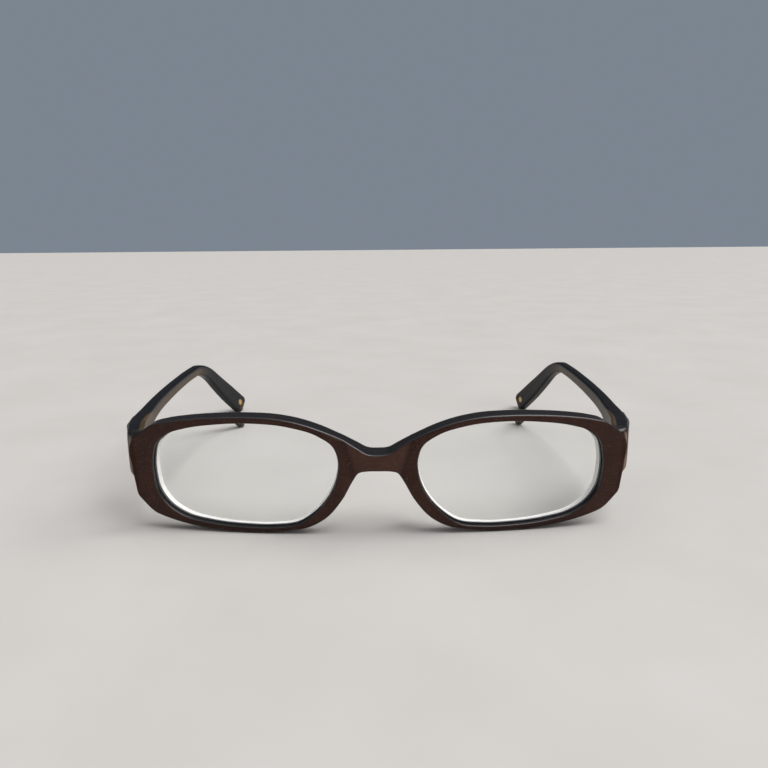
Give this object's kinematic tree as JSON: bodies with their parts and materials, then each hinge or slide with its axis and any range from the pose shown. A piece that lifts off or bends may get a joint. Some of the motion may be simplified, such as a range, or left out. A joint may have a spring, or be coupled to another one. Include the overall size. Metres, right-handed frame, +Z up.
{
  "type": "spectacles",
  "caption": "Full-rim acetate spectacles standing open: wrapped front with glazed minus lenses, and two temples that fold on barrel hinges.",
  "frame": {"origin": "on the table under the middle of the open spectacles: z = 0 is the table that the rims and the temple tips rest on", "axes": "+X towards the wearer's left temple, -Y the way the lenses look and +Y along the temples to the tips, +Z up"},
  "size_m": [0.149, 0.14, 0.0333],
  "materials": {
    "front_acetate": "satin dark brown face over black acetate, softly polished edges",
    "temple_acetate": "satin black acetate with an olive brown inner layer",
    "pad_acetate": "polished black acetate",
    "lens": "clear coated lens with a frosted white edge",
    "hinge_metal": "nickel silver, satin",
    "screw_metal": "bright stainless steel",
    "rivet_metal": "darkened nickel silver",
    "wire_metal": "drawn nickel silver",
    "plaque_metal": "black satin coating with bright worn edges",
    "inlay_metal": "pale gold, satin"
  },
  "bodies": {
    "front_body": {"front_frame": "front_acetate", "lens_left": "lens", "lens_right": "lens", "nose_pad_left": "pad_acetate", "nose_pad_right": "pad_acetate", "front_hinge_leaf_left": "hinge_metal", "front_hinge_leaf_right": "hinge_metal", "hinge_screw_left": "screw_metal", "hinge_screw_right": "screw_metal"},
    "left_temple_body": {"temple_left": "temple_acetate", "temple_hinge_leaf_left": "hinge_metal", "temple_rivet_front_left": "rivet_metal", "temple_rivet_rear_left": "rivet_metal", "core_wire_left": "wire_metal", "temple_plaque_left": "plaque_metal", "tip_inlay_left": "inlay_metal"},
    "right_temple_body": {"temple_right": "temple_acetate", "temple_hinge_leaf_right": "hinge_metal", "temple_rivet_front_right": "rivet_metal", "temple_rivet_rear_right": "rivet_metal", "core_wire_right": "wire_metal", "temple_plaque_right": "plaque_metal", "tip_inlay_right": "inlay_metal"}
  },
  "joints": [
    {"name": "left_temple_fold", "type": "hinge", "parent": "front_body", "child": "left_temple_body", "pos_m": [0.0616, -0.05795, 0.0206], "axis": [0, 0, 1], "range_deg": [0, 90]},
    {"name": "right_temple_fold", "type": "hinge", "parent": "front_body", "child": "right_temple_body", "pos_m": [-0.0616, -0.05795, 0.0206], "axis": [0, 0, -1], "range_deg": [0, 70]}
  ]
}
